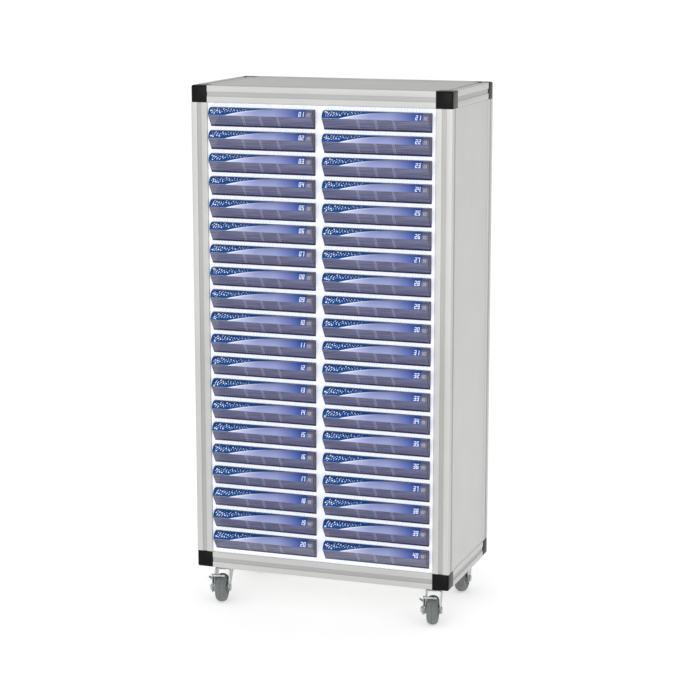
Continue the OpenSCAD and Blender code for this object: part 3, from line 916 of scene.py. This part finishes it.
def fork_mesh(name, axle_y, swivel):
    """A pressed fork: a U-shaped channel cut to the legs' side view, with its top and rivet cup."""
    leg_r, shoulder_r, bend_r, corner_r = 9.0, 4.0, 1.5, 3.0
    outer = LEG_IN + LEG_T
    top = FORK_TOP_Z
    half_y = 19.0
    channel = [(-outer, 0), (-LEG_IN, 0)]
    channel += arc(-LEG_IN + bend_r, top - LEG_T - bend_r, bend_r, 180, 90, 4)
    channel += arc(LEG_IN - bend_r, top - LEG_T - bend_r, bend_r, 90, 0, 4)
    channel += [(LEG_IN, 0), (outer, 0)]
    channel += arc(outer - shoulder_r, top - shoulder_r, shoulder_r, 0, 90, 6)
    channel += arc(-outer + shoulder_r, top - shoulder_r, shoulder_r, 90, 180, 6)
    front_reach = 3.0 if swivel else 0.0
    side = half_y - corner_r
    leg = hull([(axle_y, WHEEL_R, leg_r), (-side - front_reach, top - 6, corner_r),
                (side, top - 12, corner_r), (side, top + 8, corner_r), (-side, top + 8, corner_r)])
    # Both solids run well past the fork, which is what they share
    body = combine(solid(channel, -60, 60, "y"), ("INTERSECT", solid(leg, -40, 40, "x")))
    round_edges(body, 0.45, segments=2, angle=50)
    core_r, disc_r = 0.5, 20.0
    cup_r, cup_h = (18.0, 2.4) if swivel else (22.0, CASTER_H - top - SEAT_GAP)
    disc = [(core_r, top - LEG_T), (disc_r, top - LEG_T), (disc_r, top - 0.8), (disc_r - 0.8, top)]
    disc += [(cup_r + 0.4, top), (cup_r, top + 0.4), (cup_r - 0.6, top + cup_h - 0.5)]
    disc += [(cup_r - 1.4, top + cup_h), (core_r, top + cup_h)]
    merge(body, turned_z(disc))
    if swivel:
        boss = solid(circle(BOSS_Y, BOSS_Z, BOSS_R), LEVER_X - 0.6, -LEG_IN - 0.5, "x")
        round_edges(boss, 0.5, segments=2, angle=50)
        merge(body, boss)
    return finish_mesh(name, body, ZINC, sharp=35)


def axle_mesh(name, axle_y, left):
    """Bolt head on the right, and on the left a washer, a nut and the bolt's end."""
    bm = bmesh.new()
    hex_r, head_t, nut_t = 7.5, 3.0, 3.8
    washer_r, washer_t, shank_out = 12.0, 1.2, 6.2
    right = LEG_IN + LEG_T + SEAT_GAP
    nut_x = left - washer_t
    parts = [(hexagon(0, 0, hex_r), right, right + head_t, 0.6),
             (circle(0, 0, AXLE_R, 32), left - shank_out, right + 0.5, 0.6),
             (circle(0, 0, washer_r), nut_x, left, 0.4),
             (hexagon(0, 0, hex_r), nut_x - nut_t, nut_x, 0.7)]
    for outline, low, high, edge_r in parts:
        part = solid(outline, low, high, "x")
        round_edges(part, edge_r, segments=2, angle=40)
        merge(bm, part, Matrix.Translation((0, axle_y, WHEEL_R)))
    return finish_mesh(name, bm, ZINC, sharp=35)


def lever_mesh():
    """Brake lever: a ring on the boss, an arm, a bar over the tread and a bent tab."""
    bar_angle = math.radians(62)
    bar_gap, bar_half, bar_end, ring_r = 2.0, 2.5, 10.0, 15.0
    bar_r = WHEEL_R + bar_gap + bar_half
    bar_y = -TRAIL - bar_r * math.cos(bar_angle)
    bar_z = WHEEL_R + bar_r * math.sin(bar_angle)
    arm = hull([(BOSS_Y, BOSS_Z, ring_r), (bar_y, bar_z, 3), (bar_y + 7, bar_z - 2, 4)])
    plate = combine(solid(arm, LEVER_X, LEVER_X + LEVER_T, "x"),
                    ("DIFFERENCE", solid(circle(BOSS_Y, BOSS_Z, BOSS_R + 0.05), -60, 0, "x")))
    round_edges(plate, 0.4, segments=2, angle=50)
    bar = bmesh.new()
    box(bar, (LEVER_X, bar_y - bar_half, bar_z - bar_half),
        (bar_end, bar_y + bar_half, bar_z + bar_half))
    round_edges(bar, 1.3, segments=3)
    merge(plate, bar)
    # The tab starts inside the plate, bends outwards by lean degrees and runs straight on
    thickness, length, lean_r, lean = 2.0, 9.5, 5.0, 55
    middle_x, bend_z = LEVER_X + LEVER_T / 2, bar_z - 16
    path = [(middle_x, bend_z - 3)]
    for degrees in (0, 18, 36, lean):
        a = math.radians(degrees)
        path.append((middle_x - lean_r + lean_r * math.cos(a), bend_z + lean_r * math.sin(a)))
    last_x, last_z = path[-1]
    path.append((last_x - length * math.sin(math.radians(lean)),
                 last_z + length * math.cos(math.radians(lean))))
    sides = []
    for k in range(len(path)):
        before, after = path[max(0, k - 1)], path[min(len(path) - 1, k + 1)]
        dx, dz = after[0] - before[0], after[1] - before[1]
        size = math.hypot(dx, dz)
        sides.append((-dz / size * thickness / 2, dx / size * thickness / 2))
    outline = [(p[0] + s[0], p[1] + s[1]) for p, s in zip(path, sides)]
    outline += [(p[0] - s[0], p[1] - s[1]) for p, s in zip(path, sides)][::-1]
    tab = solid(outline, bar_y + 7, bar_y + 18, "y")
    round_edges(tab, 0.7, segments=2, angle=50)
    merge(plate, tab)
    return finish_mesh("brake_lever", plate, ZINC, sharp=35)


def stem_profile(head_z):
    """A stem's (radius, z) profile: a rounded head whose upper face is at head_z, and the shank."""
    core_r, head_r, head_h = 0.3, 9.0, 3.4
    bottom, top = head_z - head_h, CASTER_H + 26
    return [(core_r, bottom), (head_r - 1, bottom), (head_r, bottom + 1), (head_r, head_z - 0.6),
            (head_r - 0.6, head_z), (STEM_R, head_z), (STEM_R, top - 0.8), (STEM_R - 0.8, top),
            (core_r, top)]


def race_mesh():
    """The upper ball race of a swivel caster: a disc with a rolled skirt, and the stem in it, both in
    a darker zinc that paints the shade under the frame.
    """
    top, head_drop = CASTER_H - SEAT_GAP, 3.4
    skirt_z, outer_r, inner_r, roll = top - 6.8, 22.0, 20.5, 0.8
    skirt = [(0.5, top - 4), (inner_r - 0.5, top - 4), (inner_r, top - 4.5), (inner_r, skirt_z),
             (outer_r - roll, skirt_z - 0.3), (outer_r, skirt_z), (outer_r, top - 1),
             (outer_r - roll, top), (0.5, top)]
    bm = turned_z(skirt)
    merge(bm, turned_z(stem_profile(FORK_TOP_Z - head_drop), 48))
    return finish_mesh("stem_and_race", bm, ZINC_PAINTED_SHADE)


def plain_stem_mesh():
    head_drop = 3.1
    return finish_mesh("stem", turned_z(stem_profile(FORK_TOP_Z - head_drop), 48), ZINC)


def tyre_mesh():
    """A tyre with a strongly rounded tread and a fine mould line round its middle."""
    shoulder_r = WHEEL_R - 9
    line_half, line_depth = 0.7, 0.8
    profile = [(19.1, -TREAD_HALF + 0.5), (21.5, -TREAD_HALF + 0.4), (22, -TREAD_HALF)]
    steps = 28
    for i in range(steps + 1):
        s = math.sin(math.radians(-90 + 180 * i / steps))
        c = math.sqrt(max(0.0, 1 - s * s))
        x = TREAD_HALF * math.copysign(abs(s) ** 0.9, s)
        if i == steps // 2:
            profile += [(WHEEL_R, -line_half), (WHEEL_R - line_depth, -line_half / 3),
                        (WHEEL_R - line_depth, line_half / 3), (WHEEL_R, line_half)]
        else:
            profile.append((shoulder_r + (WHEEL_R - shoulder_r) * c ** 0.9, x))
    profile += [(22, TREAD_HALF), (21.5, TREAD_HALF - 0.4), (19.1, TREAD_HALF - 0.5)]
    bm = bmesh.new()
    lathe(bm, profile, 96)
    return finish_mesh("tyre", bm, RUBBER, sharp=40)


def hub_mesh():
    """A moulded hub: rim, web and bore tube, with a raised ring on each face."""
    half = TREAD_HALF
    right = [(4.05, 14.6), (8.4, 14.6), (9, 14), (9, half - 3), (11, half - 3.2), (11.5, half - 2.4),
             (12.5, half - 2.4), (13, half - 3.2), (15, half - 3), (16, half - 1), (18.6, half - 1),
             (19, half - 1.4)]
    profile = right + [(r, -x) for r, x in right[::-1]]
    bm = bmesh.new()
    lathe(bm, profile, 72)
    return finish_mesh("hub", bm, NYLON, sharp=35)


def add_casters():
    fork = fork_mesh("swivel_fork", -TRAIL, True)
    fixed = fork_mesh("fixed_fork", 0, False)
    front_axle = axle_mesh("front_axle", -TRAIL, -LEG_IN - LEG_T - BOSS_H - SEAT_GAP)
    rear_axle = axle_mesh("rear_axle", 0, -LEG_IN - LEG_T - SEAT_GAP)
    lever, race, stem = lever_mesh(), race_mesh(), plain_stem_mesh()
    tyre, hub = tyre_mesh(), hub_mesh()
    heading = Matrix.Rotation(CASTER_YAW, 4, "Z")
    for side, sign in SIDES.items():
        x = sign * (frame_high.x - CASTER_INSET)
        at_front = (x, frame_low.y + CASTER_INSET, 0)
        at_rear = (x, frame_high.y - CASTER_INSET, 0)
        node = f"front_{side}_fork"
        add_piece(f"{node}_pressing", fork, node, at_front, heading, [node])
        add_piece(f"{node}_axle", front_axle, node, at_front, heading)
        node = f"front_{side}_brake_lever"
        add_piece(f"{node}_pressing", lever, node, at_front, heading, [node])
        add_piece(f"front_{side}_race", race, "cabinet", at_front,
                  replaces=["caster_stems"])
        add_piece(f"rear_{side}_fork", fixed, "cabinet", at_rear,
                  replaces=["rear_forks"])
        add_piece(f"rear_{side}_axle", rear_axle, "cabinet", at_rear)
        add_piece(f"rear_{side}_stem", stem, "cabinet", at_rear,
                  replaces=["caster_stems"])
        for end, turn in (("front", heading), ("rear", None)):
            node = f"{end}_{side}_wheel"
            low, high = box_mm(node)
            middle = (low + high) / 2
            add_piece(f"{node}_tyre", tyre, node, middle, turn, [node])
            add_piece(f"{node}_hub", hub, node, middle, turn, [node])
    for name in ("caster_plates", "caster_nuts"):
        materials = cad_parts[name].data.materials
        materials.clear()
        materials.append(ZINC)


# ---- Studio --------------------------------------------------------------------------------------

def add_studio():
    bpy.ops.mesh.primitive_plane_add(size=400, location=(0, 0, 0))
    floor = bpy.context.object
    floor.name = "floor"
    paper = Shader("pale_floor", (0.93, 0.93, 0.93), 0.9, Specular_IOR_Level=0.1)
    paper.set(Emission_Color=(1, 1, 1, 1), Emission_Strength=0.38)
    floor.data.materials.append(paper.material)

    world = bpy.data.worlds.new("studio")
    world.use_nodes = True
    world.node_tree.nodes["Background"].inputs["Color"].default_value = (1, 1, 1, 1)
    world.node_tree.nodes["Background"].inputs["Strength"].default_value = 0.7
    bpy.context.scene.world = world

    def area(name, at, aim, size, energy):
        data = bpy.data.lights.new(name, "AREA")
        data.shape = "RECTANGLE"
        data.size, data.size_y = size
        data.energy = energy
        lamp = bpy.data.objects.new(name, data)
        bpy.context.collection.objects.link(lamp)
        lamp.location = at
        lamp.rotation_euler = (Vector(aim) - Vector(at)).to_track_quat("-Z", "Y").to_euler()

    area("front_softbox", (0.1, -4.2, 1.5), (0, 0, 0.6), (3.2, 2.6), 47)
    area("right_softbox", (4.0, -1.6, 1.6), (0, 0, 0.6), (2.4, 2.6), 7)


def add_camera():
    azimuth, elevation = math.radians(19.08), math.radians(11.22)
    distance = 4.647
    target = Vector((0.0171, 0.0, 0.5638))
    back = Vector((math.sin(azimuth) * math.cos(elevation),
                   -math.cos(azimuth) * math.cos(elevation), math.sin(elevation)))
    data = bpy.data.cameras.new("camera")
    data.sensor_width = 36
    data.lens = 108.62
    camera = bpy.data.objects.new("camera", data)
    bpy.context.collection.objects.link(camera)
    camera.location = target + back * distance
    camera.rotation_euler = (-back).to_track_quat("-Z", "Y").to_euler()
    bpy.context.scene.camera = camera


add_frame()
add_corner_blocks()
add_panels()
add_housing()
add_drawers()
add_casters()
add_studio()
add_camera()
bpy.context.scene.view_settings.view_transform = "Standard"

bpy.context.view_layer.update()
